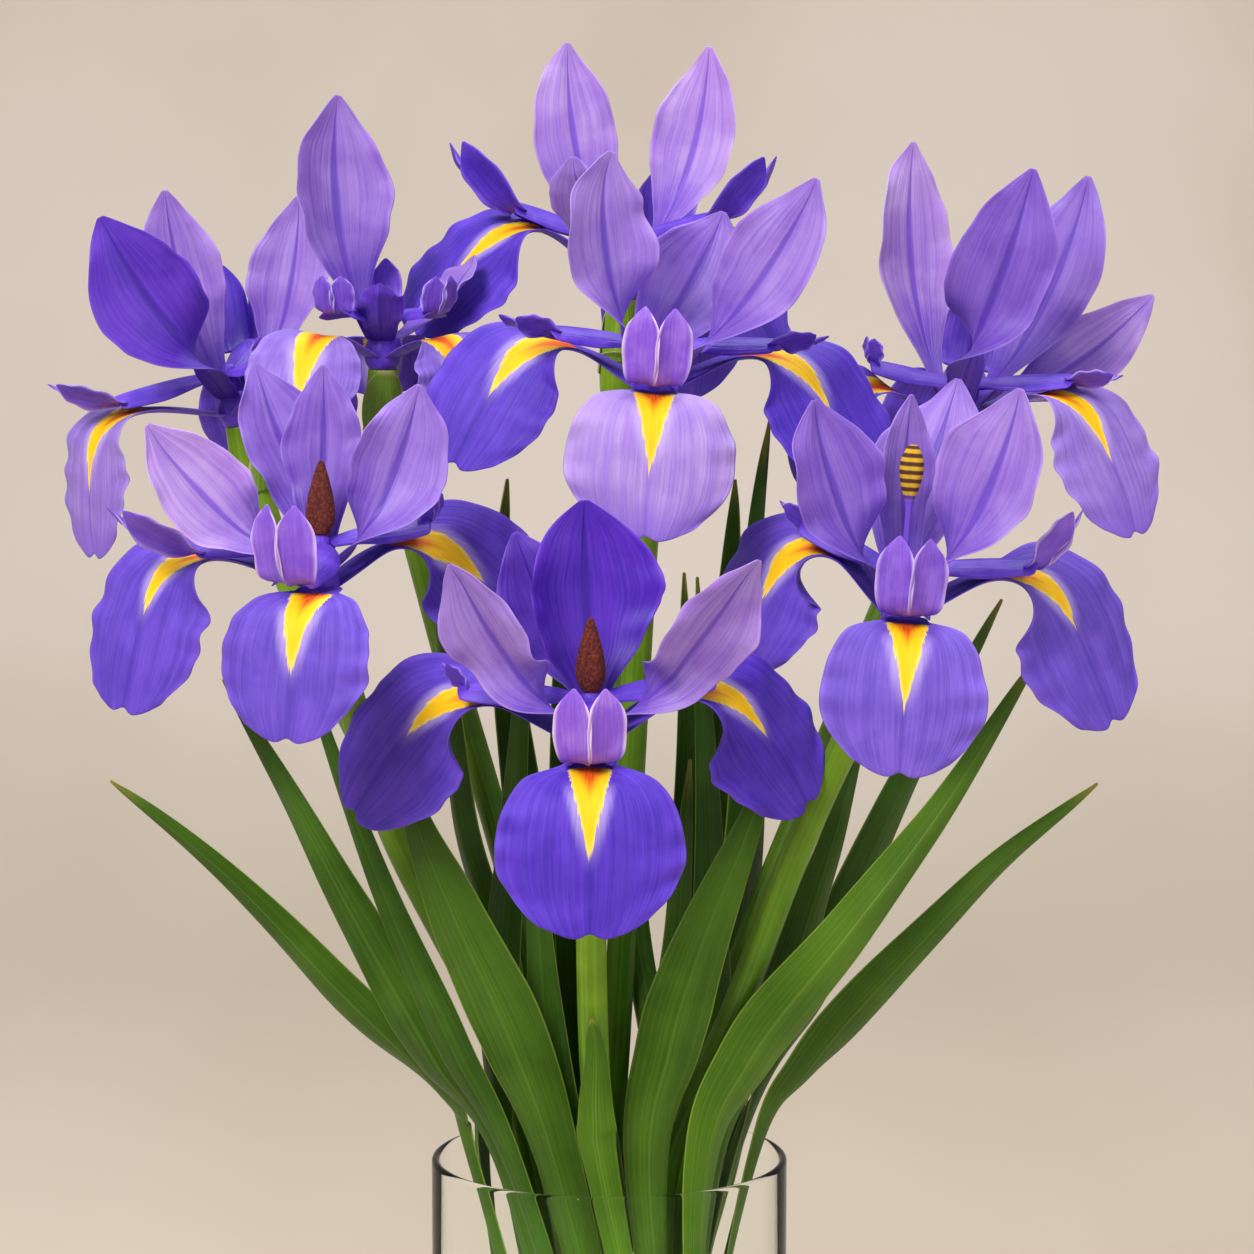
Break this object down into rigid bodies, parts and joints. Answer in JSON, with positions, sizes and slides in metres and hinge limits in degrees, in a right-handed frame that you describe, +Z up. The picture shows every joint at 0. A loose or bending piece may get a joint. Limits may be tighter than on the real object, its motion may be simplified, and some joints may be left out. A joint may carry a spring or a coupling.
{
  "type": "irises in a vase",
  "caption": "Bouquet of violet irises with yellow-marked falls and green strap leaves, standing in a plain clear glass cylinder vase.",
  "frame": {"origin": "centre of the vase's flat underside", "axes": "+Z up, along the vase's axis; the front of the bouquet faces -Y"},
  "size_m": [0.2826, 0.2048, 0.4798],
  "materials": {
    "vase_glass": "clear, polished",
    "stem_green": "satin plant tissue",
    "leaf_green": "satin plant tissue with fine veins along it",
    "fall_petal": "matte petal, yellow and orange mark at its throat",
    "standard_petal": "matte translucent petal",
    "style_petal": "matte translucent petal with a pale edge",
    "anther_pollen": "dull, dusted with pollen"
  },
  "bodies": {
    "root": {"vase": "vase_glass", "iris_front_stem": "stem_green", "iris_front_falls": "fall_petal", "iris_front_standards": "standard_petal", "iris_front_styles": "style_petal", "iris_left_stem": "stem_green", "iris_left_falls": "fall_petal", "iris_left_standards": "standard_petal", "iris_left_styles": "style_petal", "iris_right_stem": "stem_green", "iris_right_falls": "fall_petal", "iris_right_standards": "standard_petal", "iris_right_styles": "style_petal", "iris_centre_stem": "stem_green", "iris_centre_falls": "fall_petal", "iris_centre_standards": "standard_petal", "iris_centre_styles": "style_petal", "iris_upper_left_stem": "stem_green", "iris_upper_left_falls": "fall_petal", "iris_upper_left_standards": "standard_petal", "iris_upper_left_styles": "style_petal", "iris_far_left_stem": "stem_green", "iris_far_left_falls": "fall_petal", "iris_far_left_standards": "standard_petal", "iris_far_left_styles": "style_petal", "iris_back_stem": "stem_green", "iris_back_falls": "fall_petal", "iris_back_standards": "standard_petal", "iris_back_styles": "style_petal", "iris_upper_right_stem": "stem_green", "iris_upper_right_falls": "fall_petal", "iris_upper_right_standards": "standard_petal", "iris_upper_right_styles": "style_petal", "iris_front_anther": "anther_pollen", "iris_left_anther": "anther_pollen", "iris_right_anther": "anther_pollen", "leaf_far_left": "leaf_green", "leaf_left_tall": "leaf_green", "leaf_left_slim": "leaf_green", "leaf_left_broad": "leaf_green", "leaf_centre": "leaf_green", "leaf_right_broad": "leaf_green", "leaf_right_tall": "leaf_green", "leaf_right_slim": "leaf_green", "leaf_far_right": "leaf_green", "leaf_right_back": "leaf_green", "leaf_back_right": "leaf_green", "leaf_back": "leaf_green", "leaf_back_left": "leaf_green", "leaf_left_back": "leaf_green", "leaf_inner_left": "leaf_green", "leaf_inner_right": "leaf_green", "leaf_mid_left": "leaf_green", "leaf_mid_right": "leaf_green", "leaf_inner_back_left": "leaf_green", "leaf_inner_back_right": "leaf_green"}
  },
  "joints": []
}
